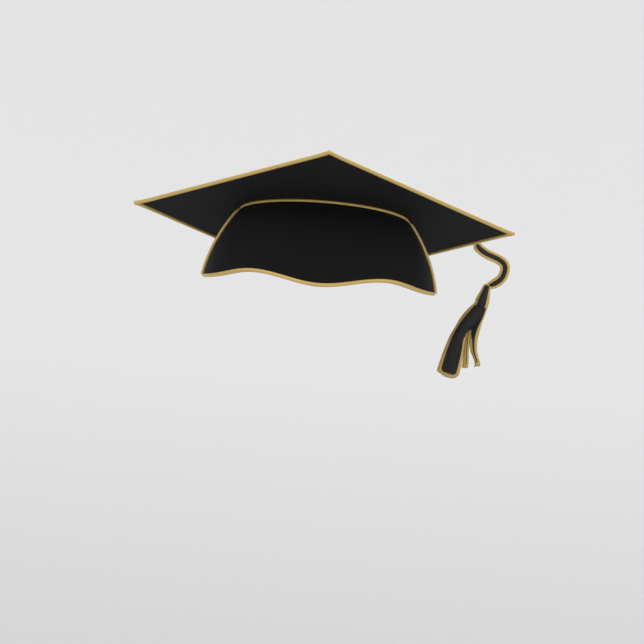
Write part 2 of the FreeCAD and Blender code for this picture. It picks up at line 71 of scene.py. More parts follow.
# %% Places taken from the joints
joint = {j["name"]: j for j in frame["joints"]}
board_middle = Vector(joint["tassel_turn"]["pos_m"])
board_up = Vector(joint["tassel_turn"]["axis"]).normalized()
edge_pivot = Vector(joint["cord_lift"]["pos_m"])
knot_place = Vector(joint["knot_sway"]["pos_m"])
rake = math.atan2(board_up.y, board_up.z)
board = Matrix.Translation(board_middle) @ Matrix.Rotation(-rake, 4, "X")
into_board = board.inverted()
print("the board leans back", round(math.degrees(rake), 2), "degrees")

# %% [markdown]
# ## The camera
# The cap is seen level and from far away with a long lens, so that opposite edges of the board
# stay parallel. The raked board then shows its underside, and the small roll tips the whole cap
# clockwise.

# %% Make the camera
CAMERA_DISTANCE = 9.0
CAMERA_ROLL = math.radians(4.7)
VIEW_WIDTH = 0.587
SENSOR_WIDTH = 36.0
look_at = board_middle + Vector((5.7, 0, -95.7)) * MM
camera_data = bpy.data.cameras.new("camera")
camera_data.sensor_width = SENSOR_WIDTH
camera_data.lens = SENSOR_WIDTH * CAMERA_DISTANCE / VIEW_WIDTH
camera_data.clip_end = 100
camera = bpy.data.objects.new("camera", camera_data)
bpy.context.scene.collection.objects.link(camera)
level = Matrix.Rotation(math.radians(90), 4, "X")
roll = Matrix.Rotation(CAMERA_ROLL, 4, "Z")
camera.matrix_world = Matrix.Translation(look_at + Vector((0, -CAMERA_DISTANCE, 0))) @ level @ roll
bpy.context.scene.camera = camera
bpy.context.scene.view_settings.view_transform = "Standard"
print("lens", round(camera_data.lens), "mm")

# %% [markdown]
# ## Writing shaders as sums
# A material is easier to read as arithmetic than as a list of links. Wire wraps one socket, and
# adding or multiplying wires adds the Math nodes. Finish holds one material and makes every
# other node through one method.


# %% The shader helpers
class Wire:
    """A value socket that can be used in sums and products."""

    def __init__(self, finish, socket):
        self.finish, self.socket = finish, socket

    def _with(self, operation, *others):
        made = self.finish.node("ShaderNodeMath", {"operation": operation}, {})
        for index, value in enumerate(others):
            self.finish.feed(made.inputs[index], value)
        return Wire(self.finish, made.outputs[0])

    def __add__(self, other):
        return self._with("ADD", self, other)

    def __sub__(self, other):
        return self._with("SUBTRACT", self, other)

    def __mul__(self, other):
        return self._with("MULTIPLY", self, other)

    __radd__ = __add__
    __rmul__ = __mul__

    def sine(self):
        return self._with("SINE", self)

    def angle_from(self, other):
        return self._with("ARCTAN2", self, other)


class Finish:
    """One material: a Principled shader and the nodes that feed it."""

    def __init__(self, name, **plain):
        self.material = bpy.data.materials.new(name)
        self.material.use_nodes = True
        self.tree = self.material.node_tree
        self.tree.nodes.clear()
        self.shader = self.node("ShaderNodeBsdfPrincipled", {}, plain)
        self.node("ShaderNodeOutputMaterial", {}, {"Surface": self.shader.outputs[0]})

    def feed(self, socket, value):
        if isinstance(value, Wire):
            value = value.socket
        if isinstance(value, bpy.types.NodeSocket):
            self.tree.links.new(value, socket)
        else:
            socket.default_value = value

    def node(self, kind, settings, sockets):
        made = self.tree.nodes.new(kind)
        for key, value in settings.items():
            setattr(made, key, value)
        for key, value in sockets.items():
            self.feed(made.inputs[key], value)
        return made

    def place(self):
        """The x, y and z of a point, in metres, as three wires, and the point itself."""
        where = self.node("ShaderNodeTexCoord", {}, {}).outputs["Object"]
        split = self.node("ShaderNodeSeparateXYZ", {}, {"Vector": where})
        return [Wire(self, split.outputs[i]) for i in range(3)] + [where]

    def clouds(self, where, scale, detail=3.0):
        made = self.node(
            "ShaderNodeTexNoise", {}, {"Vector": where, "Scale": scale, "Detail": detail}
        )
        return Wire(self, made.outputs["Fac"])

    def colour_between(self, share, first, second):
        made = self.node(
            "ShaderNodeMix", {"data_type": "RGBA"}, {"Factor": share, 6: first + (1,), 7: second + (1,)}
        )
        self.feed(self.shader.inputs["Base Color"], made.outputs[2])

    def raised(self, height, strength, distance):
        made = self.node(
            "ShaderNodeBump", {}, {"Height": height, "Strength": strength, "Distance": distance}
        )
        self.feed(self.shader.inputs["Normal"], made.outputs[0])


TURN = 2 * math.pi
print("shader helpers ready")

# %% [markdown]
# ## The finishes
# Gown cloth is a fine matt twill: diagonal ribs about a millimetre apart, and a faint cloudiness
# where fingers have pressed it. The ribs on the board run straight, and those on the skull cap
# follow its curve, so that the pattern isn't stretched at the sides. Gold cord is lurex: thin
# foil wound on thread, half metal and half cloth.

# %% Cloth
BLACK = (0.0030, 0.0030, 0.0033)
# The lighter black shows real wear, and also a painted highlight on the twill's rib crests.
WORN_AND_RIB_HIGHLIGHT_BLACK = (0.0085, 0.0085, 0.0090)
SKULL_RADIUS = 0.095
RIB_PITCH, THREAD_PITCH = 0.0011, 0.00042


def twill(across, along, finish, where):
    """Diagonal ribs with a thread's grain along each rib."""
    rib = (across + along) * (TURN / RIB_PITCH)
    grain = (across - along) * (TURN / THREAD_PITCH)
    ribs = rib.sine() * 0.5 + 0.5
    height = ribs + (grain.sine() * 0.22) + finish.clouds(where, 900.0) * 0.5
    press = finish.clouds(where, 18.0, 4.0)
    # Pressed patches are lighter from wear. The rib crests are painted lighter and the grooves darker,
    # a painted highlight and painted shade on the weave.
    finish.colour_between(press * 0.5 + ribs * 0.35, BLACK, WORN_AND_RIB_HIGHLIGHT_BLACK)
    finish.feed(finish.shader.inputs["Roughness"], press * 0.14 + 0.72)
    finish.raised(height, 0.34, 0.00018)
    return finish.material


def new_cloth(name):
    return Finish(
        name,
        **{"Sheen Weight": 0.02, "Sheen Roughness": 0.4, "IOR": 1.42, "Specular IOR Level": 0.10},
    )


flat_finish = new_cloth("board_cloth")
x, y, z, where = flat_finish.place()
board_cloth = twill(x, y, flat_finish, where)
round_finish = new_cloth("skull_cloth")
x, y, z, where = round_finish.place()
skull_cloth = twill(y.angle_from(x) * SKULL_RADIUS, z, round_finish, where)
print("cloth:", board_cloth.name, skull_cloth.name)

# %% Gold and thread
GOLD = (0.54, 0.385, 0.115)
DEEP_GOLD = (0.36, 0.235, 0.060)


def gold_finish(name, thread_scale):
    """Lurex: patches painted brighter and deeper, a painted highlight on the foil and painted shade
    between the threads, over a broader tarnish.
    """
    finish = Finish(name, **{"Metallic": 0.35, "Specular IOR Level": 0.5})
    x, y, z, where = finish.place()
    patches = finish.clouds(where, thread_scale, 2.0)
    tarnish = finish.clouds(where, 30.0, 3.0)
    # Colour: the patches are a painted highlight and painted shade on the foil; the tarnish is the
    # cord's own.
    finish.colour_between(patches * 0.55 + tarnish * 0.25, GOLD, DEEP_GOLD)
    finish.feed(finish.shader.inputs["Roughness"], patches * 0.25 + 0.36)
    finish.raised(patches, 0.25, 0.00012)
    return finish.material


def thread_finish(name, first, second, rough, sheen):
    """Dyed thread: a soft shine along it and a little difference from strand to strand."""
    finish = Finish(name, **{"Sheen Weight": sheen, "Specular IOR Level": 0.25})
    x, y, z, where = finish.place()
    strands = finish.clouds(where, 700.0, 2.0)
    finish.colour_between(strands, first, second)
    finish.feed(finish.shader.inputs["Roughness"], strands * 0.2 + rough)
    finish.raised(strands, 0.2, 0.0001)
    return finish.material


gold_cord = gold_finish("gold_cord", 1400.0)
gold_cloth = gold_finish("gold_cloth", 2200.0)
gold_thread = gold_finish("gold_thread_finish", 1800.0)
black_thread = thread_finish("black_thread_finish", BLACK, (0.014, 0.014, 0.015), 0.42, 0.03)
print("gold and thread finishes made")

# %% [markdown]
# The pieces that hide inside, or show only from below, are lining satin, a pressed leather
# sweatband, ribbed elastic, open buckram, grey card and plated steel. Each keeps the grain
# that such a material has, because the cap is also looked at from underneath.

# %% Inside finishes
def grained(name, first, second, rough, scale, bump, depth, **plain):
    finish = Finish(name, **plain)
    x, y, z, where = finish.place()
    grain = finish.clouds(where, scale, 4.0)
    broad = finish.clouds(where, scale * 0.06, 3.0)
    finish.colour_between(grain * 0.5 + broad * 0.5, first, second)
    finish.feed(finish.shader.inputs["Roughness"], grain * 0.2 + rough)
    finish.raised(grain, bump, depth)
    return finish.material


satin = grained("lining_satin", (0.012, 0.012, 0.014), (0.022, 0.022, 0.026), 0.34, 260.0, 0.08, 0.0002)
leather = grained(
    "sweatband_leather", (0.014, 0.012, 0.011), (0.030, 0.027, 0.025), 0.42, 900.0, 0.5, 0.0002
)
buckram = grained("buckram_weave", (0.05, 0.05, 0.048), (0.09, 0.09, 0.085), 0.8, 1500.0, 0.6, 0.0003)
card = grained("grey_card", (0.26, 0.22, 0.17), (0.36, 0.31, 0.25), 0.8, 1200.0, 0.3, 0.0002)
steel = grained(
    "plated_steel", (0.50, 0.50, 0.51), (0.58, 0.58, 0.60), 0.28, 500.0, 0.05, 0.0001, Metallic=1.0
)
ribbed = grained("elastic_ribs", (0.014, 0.014, 0.015), (0.035, 0.035, 0.037), 0.6, 1100.0, 0.4, 0.0002)


def coat(node, material):
    """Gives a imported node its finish."""
    slots = frame["nodes"][node].data.materials
    slots.clear()
    slots.append(material)


for node, material in {
    "board_core": card,
    "board_piping": gold_cord,
    "button_back": steel,
    "button_rivet": steel,
    "rivet_washer": steel,
    "crown_stiffener": buckram,
    "front_stiffener": buckram,
    "back_stiffener": buckram,
    "loop_collar": gold_thread,
}.items():
    coat(node, material)
print("inside finishes made")

# %% [markdown]
# ## Tools for making meshes
# Three shapes cover nearly everything here: a cloth, which is two nearby grids joined round
# their edge; a cord, which is a section carried along a line; and a thread, which is a very
# thin cord. Each is built as one closed mesh.


# %% Mesh tools
def piece(name, points, faces, materials, body, stands_for=(), marks=None):
    """Makes a smooth mesh piece, sets what it rides on, and hides the imported parts it stands for."""
    mesh = bpy.data.meshes.new(name)
    mesh.from_pydata([tuple(p) for p in points], [], faces)
    for material in materials:
        mesh.materials.append(material)
    if marks:
        mesh.polygons.foreach_set("material_index", marks)
    mesh.polygons.foreach_set("use_smooth", [True] * len(faces))
    mesh.update()
    made = bpy.data.objects.new(name, mesh)
    bpy.context.scene.collection.objects.link(made)
    if body:
        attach(made, body)
    if stands_for:
        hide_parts(*stands_for)
    return made


def cloth(front, back, closed=False):
    """Points and faces of a cloth between two grids; closed joins the last column to the first."""
    rows, columns = len(front), len(front[0])
    points = [p for row in front for p in row] + [p for row in back for p in row]
    under = rows * columns
    last = columns if closed else columns - 1
    faces = []
    for i in range(rows - 1):
        for j in range(last):
            a, b = i * columns + j, i * columns + (j + 1) % columns
            c, d = b + columns, a + columns
            faces.append((a, b, c, d))
            faces.append((a + under, d + under, c + under, b + under))
    for j in range(last):
        a, b = j, (j + 1) % columns
        faces.append((b, a, a + under, b + under))
        a, b = (rows - 1) * columns + j, (rows - 1) * columns + (j + 1) % columns
        faces.append((a, b, b + under, a + under))
    if not closed:
        for i in range(rows - 1):
            a, b = i * columns, (i + 1) * columns
            faces.append((a, b, b + under, a + under))
            a, b = a + columns - 1, b + columns - 1
            faces.append((b, a, a + under, b + under))
    return points, faces


def tube(rings, closed=False):
    """Points and faces of a tube through rings of points; an open tube gets flat ends."""
    count, sides = len(rings), len(rings[0])
    points = [p for ring in rings for p in ring]
    faces = []
    for i in range(count if closed else count - 1):
        for j in range(sides):
            a, b = i * sides + j, i * sides + (j + 1) % sides
            c, d = (b + sides) % (count * sides), (a + sides) % (count * sides)
            faces.append((a, b, c, d))
    if not closed:
        faces.append(tuple(reversed(range(sides))))
        faces.append(tuple((count - 1) * sides + j for j in range(sides)))
    return points, faces


def spoke(reach, angle, height=0.0):
    """A point given by its reach from the upright axis, its angle and its height."""
    return Vector((reach * math.cos(angle), reach * math.sin(angle), height))


def ring_about(centre, side, over, sides, reach):
    """Points round a centre, from side towards over; reach(angle) is how far out each lies."""
    ring = []
    for j in range(sides):
        angle = TURN * j / sides
        ring.append(centre + (side * math.cos(angle) + over * math.sin(angle)) * reach(angle))
    return ring


def directions(line, closed=False):
    """The unit direction of a line at each of its points."""
    count = len(line)
    found = []
    for i in range(count):
        before = line[i - 1] if closed or i else line[0]
        after = line[(i + 1) % count] if closed or i < count - 1 else line[-1]
        found.append((after - before).normalized())
    return found


def distances(line):
    """How far along the line each point lies."""
    found = [0.0]
    for a, b in zip(line, line[1:]):
        found.append(found[-1] + (b - a).length)
    return found


def evenly(line, step, closed=False):
    """The same line with its points an even step apart."""
    full = line + [line[0]] if closed else line
    along = distances(full)
    count = max(2, round(along[-1] / step))
    found, at = [], 0
    for i in range(count if closed else count + 1):
        goal = along[-1] * i / count
        while at < len(along) - 2 and along[at + 1] < goal:
            at += 1
        share = (goal - along[at]) / max(along[at + 1] - along[at], 1e-12)
        found.append(full[at].lerp(full[at + 1], min(1.0, share)))
    return found


def twisted_cord(line, radius, strands, pitch, up, step, closed=False, sides=18):
    """A cord of twisted strands: a lobed section that turns as it goes along the line."""
    line = evenly(line, step, closed)
    length = distances(line + [line[0]] if closed else line)[-1]
    turns = max(1, round(length / pitch)) if closed else length / pitch
    rings = []
    for i, (point, along) in enumerate(zip(line, directions(line, closed))):
        side = along.cross(up).normalized()
        over = side.cross(along)
        spin = TURN * turns * i / len(line)

        def lobed(angle, spin=spin):
            lobe = abs(math.cos((angle * strands - spin * strands) / 2))
            return radius * (0.80 + 0.20 * lobe**0.7)

        rings.append(ring_about(point, side, over, sides, lobed))
    return tube(rings, closed)


def join(parts):
    """One list of points and faces from several."""
    points, faces = [], []
    for more_points, more_faces in parts:
        start = len(points)
        points.extend(more_points)
        faces.extend(tuple(i + start for i in face) for face in more_faces)
    return points, faces


def stitches(line, length, gap, radius, out):
    """A row of short raised stitches along a line; out(point) is the way off the cloth."""
    line = evenly(line, length / 4)
    along = distances(line)
    parts, start = [], gap
    while start + length < along[-1]:
        rings = []
        for share in (0.0, 0.2, 0.5, 0.8, 1.0):
            goal = start + length * share
            at = int(min(len(line) - 2, goal / along[-1] * (len(line) - 1)))
            way = (line[at + 1] - line[at]).normalized()
            point = line[at] + way * (goal - along[at])
            off = out(point)
            across = way.cross(off).normalized()
            arch = math.sin(math.pi * share)
            thick = radius * (0.45 + 0.55 * arch)
            centre = point + off * radius * (arch * 0.9 - 0.35)
            rings.append(ring_about(centre, across, off, 6, lambda angle, thick=thick: thick))
        parts.append(tube(rings))
        start += length + gap
    return join(parts)


print("mesh tools ready")

# %% [markdown]
# ## The board's two cloths
# The card is covered on both faces. Glued cloth is nearly flat, but it swells a little towards
# the middle, dips where it is drawn in under the piping, and shows a row of stitches just
# inside its edge.

# %% Cover the board
HALF_BOARD = 1.7 * MM
COVER_THICK = 0.55 * MM
EDGE = 118.9 * MM
EDGE_CORNER = 1.6 * MM
COLUMNS = 96


def edge_share(i):
    """Grid lines crowd towards the board's edges, where the cloth bends."""
    t = 2 * i / COLUMNS - 1
    return math.copysign(1 - (1 - abs(t)) ** 1.35, t)


def on_board(u, v, height):
    """A point from shares of the half side and a height off the board's middle, in place."""
    flat = Vector((u * EDGE, v * EDGE, 0))
    over_u, over_v = abs(flat.x) - (EDGE - EDGE_CORNER), abs(flat.y) - (EDGE - EDGE_CORNER)
    if over_u > 0 and over_v > 0:
        long_side = max(over_u, over_v)
        shrink = long_side / math.hypot(over_u, over_v)
        flat.x = math.copysign(EDGE - EDGE_CORNER + over_u * shrink, u)
        flat.y = math.copysign(EDGE - EDGE_CORNER + over_v * shrink, v)
    flat.rotate(Matrix.Rotation(math.radians(45), 3, "Z"))
    flat.z = height
    return board @ flat


def board_cover(name, node, side):
    front, back = [], []
    for i in range(COLUMNS + 1):
        outer_row, inner_row = [], []
        for j in range(COLUMNS + 1):
            u, v = edge_share(i), edge_share(j)
            rim = (1 - max(abs(u), abs(v))) * EDGE
            dip = 0.50 * MM * math.exp(-rim / (2.2 * MM))
            seam_dip = 0.10 * MM * math.exp(-(((rim - 6 * MM) / (1.2 * MM)) ** 2))
            swell = 0.10 * MM * noise.noise(Vector((u * 5, v * 5, side * 3)))
            height = HALF_BOARD + 0.05 * MM + swell - dip - seam_dip
            outer_row.append(on_board(u, v, side * height))
            inner_row.append(on_board(u, v, side * (HALF_BOARD - COVER_THICK)))
        front.append(outer_row if side > 0 else inner_row)
        back.append(inner_row if side > 0 else outer_row)
    points, faces = cloth(front, back)
    made = piece(name, points, faces, [board_cloth], "cap", [node])
    return made


board_cover("board_top_cloth", "board_top_cover", 1)
board_cover("board_under_cloth", "board_under_cover", -1)


def square_line(inset, height, corner):
    """A square with round corners, `inset` inside the covers' edge, on the board."""
    half = EDGE - inset
    line = []
    for quarter in range(4):
        turn = Matrix.Rotation(math.radians(90 * quarter + 45), 3, "Z")
        for step in range(9):
            angle = math.radians(-90 + 90 * step / 8)
            reach = Vector((half - corner, -half + corner, 0))
            reach += Vector((math.cos(angle), math.sin(angle), 0)) * corner
            flat = turn @ reach
            line.append(board @ Vector((flat.x, flat.y, height)))
    return line


STITCH = dict(length=2.3 * MM, gap=0.9 * MM, radius=0.16 * MM)
for name, side in (("board_top_stitches", 1), ("board_under_stitches", -1)):
    line = square_line(6 * MM, side * (HALF_BOARD - 0.05 * MM), 3 * MM)
    points, faces = stitches(line + line[:1], out=lambda p, side=side: board_up * side, **STITCH)
    piece(name, points, faces, [black_thread], "cap", ())
print("board covered and stitched")

# %% [markdown]
# ## The board's gold cord
# The edge carries a cord of three twisted strands. It is sewn along the lower side of the
# edge, so it stands a little proud below and frames the board from underneath as well. At the
# corners the cord is drawn out to a point.

# %% Pipe the board
PIPING_RADIUS = 1.8 * MM
PIPING_DROP = 1.4 * MM
POINT_LENGTH = 2.8 * MM
POINT_WIDTH = 3.5 * MM
OUTSIDE_FROM, OUTSIDE_DEPTH = EDGE * math.sqrt(2) + 0.4 * MM, 2.5 * MM
points, faces = twisted_cord(
    square_line(-1.9 * MM, -PIPING_DROP, 1.7 * MM), PIPING_RADIUS, 3, 7.5 * MM, board_up, 0.6 * MM, True
)


def drawn_to_point(place):
    """The same place, moved outwards if it is on the outer side of the cord near a corner."""
    flat = into_board @ place
    out, past = ("x", "y") if abs(flat.x) > abs(flat.y) else ("y", "x")
    reach, aside = abs(getattr(flat, out)), abs(getattr(flat, past))
    outer = min(1.0, max(0.0, (reach + aside - OUTSIDE_FROM) / OUTSIDE_DEPTH))
    reach += POINT_LENGTH * outer * math.exp(-aside / POINT_WIDTH)
    setattr(flat, out, math.copysign(reach, getattr(flat, out)))
    return board @ flat


points = [drawn_to_point(place) for place in points]
piece("board_gold_cord", points, faces, [gold_cord], "cap", ["board_piping"])
print("board piping has", len(faces), "faces")

# %% [markdown]
# ## The shape of the skull cap
# Three upright lines give the wall its shape: the front, the back and the side seam. Between
# them each level is an oval made of two half ellipses, which tilts more and more towards the
# board. The lower edge is a wave: low at the sides and at the middle of the front, and higher
# over the temples.

# %% The wall's formula
HEAD_HALF_WIDTH, HEAD_HALF_DEPTH = 105.5 * MM, 92.0 * MM
CROWN_HALF_WIDTH, CROWN_FRONT, CROWN_BACK = 76.0 * MM, 47.0 * MM, 70.0 * MM
SEAM_FORWARD = 10.0 * MM
WAVE_HEIGHT, WAVE_HALF_PITCH, WAVE_SIDE_PITCH = 8.4 * MM, 61.0 * MM, 46.0 * MM
WALL_THICK = 2.4 * MM
SEAM_RADIUS = 1.4 * MM
WALL_TOP = HALF_BOARD + 2 * SEAM_RADIUS


def crown_point(along):
    found = board @ Vector((0, along, -HALF_BOARD))
    return found.y, found.z


def wall_line(foot, crown, bulge):
    reach, top = crown

    def distance(z, inset):
        share = z / top
        lean = ((reach - foot) + 4 * bulge * (1 - 2 * share)) / top
        swell = 4 * bulge * share * (1 - share)
        return foot + (reach - foot) * share + swell - inset * math.sqrt(1 + lean * lean)

    return distance


front_y, front_z = crown_point(-CROWN_FRONT)
back_y, back_z = crown_point(CROWN_BACK)
seam_y, seam_z = crown_point(-SEAM_FORWARD)
seam_lean = -seam_y / seam_z
front_line = wall_line(HEAD_HALF_DEPTH, (-front_y, front_z), 10 * MM)
back_line = wall_line(HEAD_HALF_DEPTH, (back_y, back_z), 2.5 * MM)
side_line = wall_line(HEAD_HALF_WIDTH, (CROWN_HALF_WIDTH, seam_z), 5 * MM)


def on_wall(turn, share, inset):
    """A point of the wall: turn goes round from the right seam through the front."""
    front = Vector((0, -front_line(share * front_z, inset), share * front_z))
    back = Vector((0, back_line(share * back_z, inset), share * back_z))
    slope = (back.z - front.z) / (back.y - front.y)
    height = (front.z - slope * front.y) / (1 + slope * seam_lean)
    middle = Vector((0, -seam_lean * height, height))
    side = Vector((side_line(height, inset), 0, 0))
    tip = front if math.sin(turn) >= 0 else back
    return middle + side * math.cos(turn) + (tip - middle) * abs(math.sin(turn))


def wave(x):
    """The height of the lower edge: low in the middle, high over the temples, low at the sides."""
    turn = math.pi * abs(x) / WAVE_HALF_PITCH
    if abs(x) > WAVE_HALF_PITCH:
        turn = math.pi + math.pi * (abs(x) - WAVE_HALF_PITCH) / WAVE_SIDE_PITCH
    return WAVE_HEIGHT / 2 * (1 - math.cos(turn))


def share_where(turn, inset, above):
    """The share of the wall's height where above(point) turns from negative to positive."""
    low, high = -0.12, 1.15
    for _ in range(24):
        middle = (low + high) / 2
        if above(on_wall(turn, middle, inset)) < 0:
            low = middle
        else:
            high = middle
    return (low + high) / 2


def share_over_wave(turn, inset, lift):
    return share_where(turn, inset, lambda p: p.z - wave(p.x) - lift)


def share_under_board(turn, inset, depth):
    return share_where(turn, inset, lambda p: (into_board @ p).z + depth)


print("front is", round(front_z / MM, 1), "mm high and back", round(back_z / MM, 1))

# %% [markdown]
# ## The skull cap's cloth
# The outer cloth is stretched over buckram, so it follows the curve closely. What gives it away
# as cloth is small: it is drawn in along each seam, it puckers in short even ripples where the
# stitches pull it, and slow shallow waves run down from the crown seam.


# %% Cut and sew the walls
def ripple(turn, share, edge_gap, top_gap, seed):
    """How far the cloth stands off the smooth wall, in metres."""
    around = turn * SKULL_RADIUS
    pull = noise.noise(Vector((around * 110, seed, 0))) * 0.35 + 0.65
    rim = math.exp(-edge_gap / (3.2 * MM)) * math.sin(TURN * around / (6.1 * MM)) * 0.10 * MM
    crown = math.exp(-top_gap / (6.5 * MM)) * math.sin(TURN * around / (8.3 * MM)) * 0.20 * MM * pull
    slow = noise.noise(Vector((around * 42, share * 1.3, seed))) * 0.34 * MM
    slow *= 0.35 + 0.65 * min(1.0, edge_gap / (10 * MM))
    draw_in = 0.30 * MM * (math.exp(-edge_gap / (2.0 * MM)) + math.exp(-top_gap / (2.0 * MM)))
    return rim + crown + slow - draw_in


def wall_cloth(start, end, foot, top, outer, inner, columns, rows, rough_scale, seed):
    """A cloth on the wall from one turn to another, foot above the wave and top under the board.

    A negative top is the cloth's own height over its foot instead.
    """
    turns = [start + (end - start) * j / columns for j in range(columns + 1)]
    lows = [share_over_wave(turn, outer, foot) for turn in turns]
    if top > 0:
        highs = [share_under_board(turn, outer, top) for turn in turns]
    else:
        highs = [share_over_wave(turn, outer, foot - top) for turn in turns]
    front, back = [], []
    for i in range(rows + 1):
        outer_row, inner_row = [], []
        for turn, low_share, high_share in zip(turns, lows, highs):
            share = low_share + (high_share - low_share) * i / rows
            here = on_wall(turn, share, outer)
            foot_gap = (here - on_wall(turn, low_share, outer)).length
            top_gap = (on_wall(turn, high_share, outer) - here).length
            side_gap = min(abs(turn - start), abs(end - turn)) * SKULL_RADIUS
            stand = ripple(turn, share, min(foot_gap, side_gap), top_gap, seed) * rough_scale
            outer_row.append(on_wall(turn, share, outer - stand))
            inner_row.append(on_wall(turn, share, inner))
        front.append(outer_row)
        back.append(inner_row)
    return cloth(front, back)


SEAM_TURN = 0.4 * MM / SKULL_RADIUS
BINDING_LIFT = 0.85 * MM
for name, node, start, columns, seed in (
    ("front_wall_cloth", "front_panel", 0.0, 250, 1.0),
    ("back_wall_cloth", "back_panel", math.pi, 250, 7.0),
):
    points, faces = wall_cloth(
        start + SEAM_TURN, start + math.pi - SEAM_TURN,
        BINDING_LIFT, WALL_TOP, 0.0, 0.85 * MM, columns, 64, 1.0, seed,
    )
    piece(name, points, faces, [skull_cloth], "cap", [node])
    print(name, len(faces), "faces")

# %% [markdown]
# The lining is looser than the outer cloth, so its waves are deeper. The crown has a cloth on
# the board's side and a lining towards the head, both cut to the seam's oval.

# %% Line the skull cap
LINING_OUTER, LINING_INNER = 1.85 * MM, 2.40 * MM
for name, node, start, seed in (
    ("front_wall_lining", "front_lining", 0.0, 3.0),
    ("back_wall_lining", "back_lining", math.pi, 5.0),
):
    points, faces = wall_cloth(
        start + SEAM_TURN, start + math.pi - SEAM_TURN,
        BINDING_LIFT, WALL_TOP, LINING_OUTER, LINING_INNER, 150, 34, 0.0, seed,
    )
    half = len(points) // 2
    for i in range(half, len(points)):
        off = (points[i - half] - points[i]).normalized()
        around = math.atan2(points[i].y, points[i].x) * SKULL_RADIUS
        fold = noise.noise(Vector((around * 60, points[i].z * 12, seed)))
        points[i] = points[i] - off * (0.10 + 0.30 * max(0.0, fold)) * MM
    piece(name, points, faces, [satin], "cap", [node])


def crown_disc(name, node, depth, thickness, inset, material, seed):
    """An oval cloth in a plane under the board, with a slow swell."""
    rim = [on_wall(t, share_under_board(t, inset, depth), inset) for t in ring_turns]
    centre = sum(rim, Vector()) / len(rim)
    front, back = [], []
    for i in range(25):
        share = 0.035 + 0.965 * i / 24
        near, far = [], []
        for point in rim:
            here = centre.lerp(point, share)
            swell = noise.noise(here * 40 + Vector((seed, 0, 0))) * 0.12 * MM * (1 - share**4)
            near.append(here)
            far.append(here - board_up * (thickness + swell + 0.05 * MM))
        front.append(near)
        back.append(far)
    points, faces = cloth(back, front, closed=True)
    return piece(name, points, faces, [material], "cap", [node])


def turns_round(steps):
    """Even turns right round the skull cap."""
    return [TURN * i / steps for i in range(steps)]


ring_turns = turns_round(160)
CROWN_INSET = 2 * SEAM_RADIUS
crown_disc(
    "crown_cloth", "crown_panel", HALF_BOARD + 0.05 * MM, 0.8 * MM, CROWN_INSET,
    skull_cloth, 2,
)
crown_disc("crown_satin", "crown_lining", 5.25 * MM, 0.5 * MM, CROWN_INSET, satin, 4)
print("lining made")

# %% [markdown]
# ## Gold along the seams
# The crown seam and both side seams are piped with the same twisted cord as the board. The
# lower edge is bound with a folded gold strip: it wraps the edge and shows on both sides.

# %% Pipe the seams and bind the rim
crown_line = [
    on_wall(t, share_under_board(t, 0, HALF_BOARD + SEAM_RADIUS), SEAM_RADIUS / 2)
    for t in turns_round(240)
]
points, faces = twisted_cord(crown_line, 1.75 * MM, 3, 6.5 * MM, board_up, 0.8 * MM, True)
piece("crown_gold_cord", points, faces, [gold_cord], "cap", ["crown_piping"])

for name, node, sign in (
    ("side_gold_cord_left", "side_piping_left", -1),
    ("side_gold_cord_right", "side_piping_right", 1),
):
    line = []
    low, high = 2.2 * MM, seam_z - 1.5 * MM
    for i in range(60):
        height = low + (high - low) * i / 59
        tuck = 1.5 * MM * max(0.0, 1 - (high - height) / (4 * MM)) ** 2
        reach = side_line(height, -SEAM_RADIUS) - tuck
        line.append(Vector((sign * reach, -seam_lean * height, height)))
    points, faces = twisted_cord(line, 1.65 * MM, 3, 6.5 * MM, Vector((0, 1, 0)), 0.7 * MM)
    piece(name, points, faces, [gold_cord], "cap", [node])

BINDING_HEIGHT, BINDING_SIDES = 2.9 * MM, 16
rim_rings = []
for turn in turns_round(420):
    middle = on_wall(turn, share_over_wave(turn, WALL_THICK / 2, 0.0), WALL_THICK / 2)
    across = (on_wall(turn, 0.02, 0) - on_wall(turn, 0.02, 10 * MM)).normalized()
    slant = 0.06 * MM * math.sin(TURN * turn * SKULL_RADIUS / (2.6 * MM))
    ring = []
    for k in range(BINDING_SIDES):
        angle = TURN * k / BINDING_SIDES
        wide = math.copysign(abs(math.cos(angle)) ** 0.45, math.cos(angle))
        tall = math.copysign(abs(math.sin(angle)) ** 0.7, math.sin(angle))
        off = across * (2.05 * MM + slant) * wide
        ring.append(middle + off + Vector((0, 0, (tall * 0.5 + 0.5) * BINDING_HEIGHT)))
    rim_rings.append(ring)
points, faces = tube(rim_rings, closed=True)
piece("rim_gold_binding", points, faces, [gold_cloth], "cap", ["rim_binding"])
print("seams piped and rim bound")

# %% [markdown]
# ## Stitches on the skull cap
# Two rows of black stitches hold the binding and the crown seam. They hardly show on black
# cloth, and catch the light as a fine dotted line.

# %% Stitch the walls
rows = {
    "rim_stitches": [on_wall(t, share_over_wave(t, 0, 5.2 * MM), -0.1 * MM) for t in ring_turns],
    "crown_stitches": [
        on_wall(t, share_under_board(t, 0, WALL_TOP + 3.2 * MM), 0.0) for t in ring_turns
    ],
}
for name, line in rows.items():
    points, faces = stitches(
        line + line[:1], out=lambda p: Vector((p.x, p.y, 30 * MM)).normalized(), **STITCH
    )
    piece(name, points, faces, [black_thread], "cap", ())

# %% [markdown]
# ## The sweatband and the elastic
# A pressed leather strip lies inside the front, whip-stitched along its upper edge. Behind, a
# strip of ribbed elastic gathers the lining so that one size fits most heads.

# %% Sweatband and elastic
FRONT_START, FRONT_END = math.radians(9), math.radians(171)
points, faces = wall_cloth(
    FRONT_START, FRONT_END, 3.0 * MM, -23.5 * MM, 2.6 * MM, 3.35 * MM, 150, 12, 0.0, 9.0
)
piece("leather_sweatband", points, faces, [leather], "cap", ["sweatband"])
band_line = [
    on_wall(t, share_over_wave(t, 3.4 * MM, 25.0 * MM), 3.45 * MM)
    for t in (FRONT_START + (FRONT_END - FRONT_START) * i / 90 for i in range(91))
]
points, faces = stitches(
    band_line, out=lambda p: Vector((-p.x, -p.y, 0)).normalized(), **STITCH
)
piece("sweatband_stitches", points, faces, [gold_thread], "cap", ())

